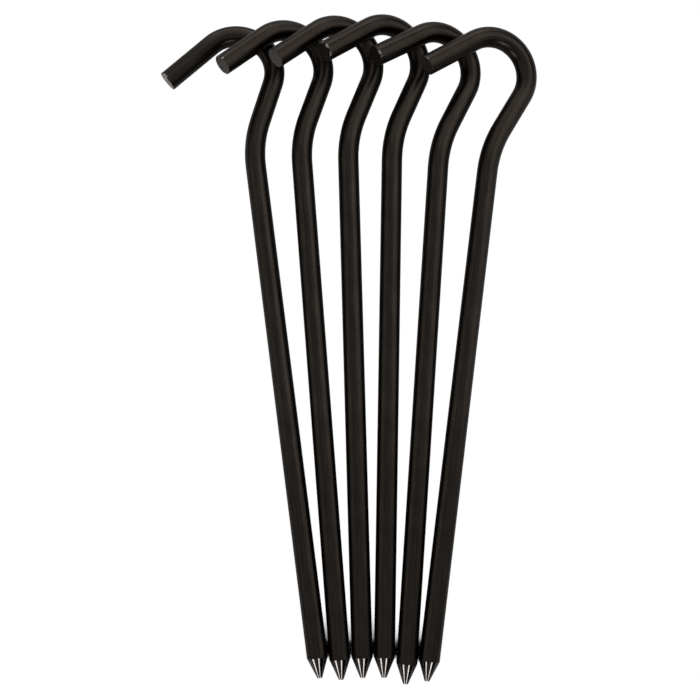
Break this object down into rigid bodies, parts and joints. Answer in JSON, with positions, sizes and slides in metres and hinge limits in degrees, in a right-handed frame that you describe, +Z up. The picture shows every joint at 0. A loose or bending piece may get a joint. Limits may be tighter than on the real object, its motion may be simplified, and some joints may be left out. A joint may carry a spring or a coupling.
{
  "type": "tent stake set",
  "caption": "Bent round-rod tent stakes with turned points and open hooks, lying in a fan with each hook arm over its left neighbour.",
  "frame": {"origin": "centre of the bounding box on the ground the set lies on", "axes": "+Z up off the ground, +Y from the points towards the hooks along the middle of the fan, -X the way the hooks open"},
  "size_m": [0.1106, 0.1932, 0.0204],
  "materials": {
    "black_anodised": "satin black anodised, bare turned points and cut ends"
  },
  "bodies": {
    "stake_1": {"stake_1": "black_anodised"},
    "stake_2": {"stake_2": "black_anodised"},
    "stake_3": {"stake_3": "black_anodised"},
    "stake_4": {"stake_4": "black_anodised"},
    "stake_5": {"stake_5": "black_anodised"},
    "stake_6": {"stake_6": "black_anodised"}
  },
  "joints": [
    {"name": "lift_2_off_1", "type": "slide", "parent": "stake_1", "child": "stake_2", "axis": [0, 0, 1], "range_m": [0, 0.012]},
    {"name": "lift_3_off_2", "type": "slide", "parent": "stake_2", "child": "stake_3", "axis": [0, 0, 1], "range_m": [0, 0.012]},
    {"name": "lift_4_off_3", "type": "slide", "parent": "stake_3", "child": "stake_4", "axis": [0, 0, 1], "range_m": [0, 0.012]},
    {"name": "lift_5_off_4", "type": "slide", "parent": "stake_4", "child": "stake_5", "axis": [0, 0, 1], "range_m": [0, 0.012]},
    {"name": "lift_6_off_5", "type": "slide", "parent": "stake_5", "child": "stake_6", "axis": [0, 0, 1], "range_m": [0, 0.012]}
  ]
}
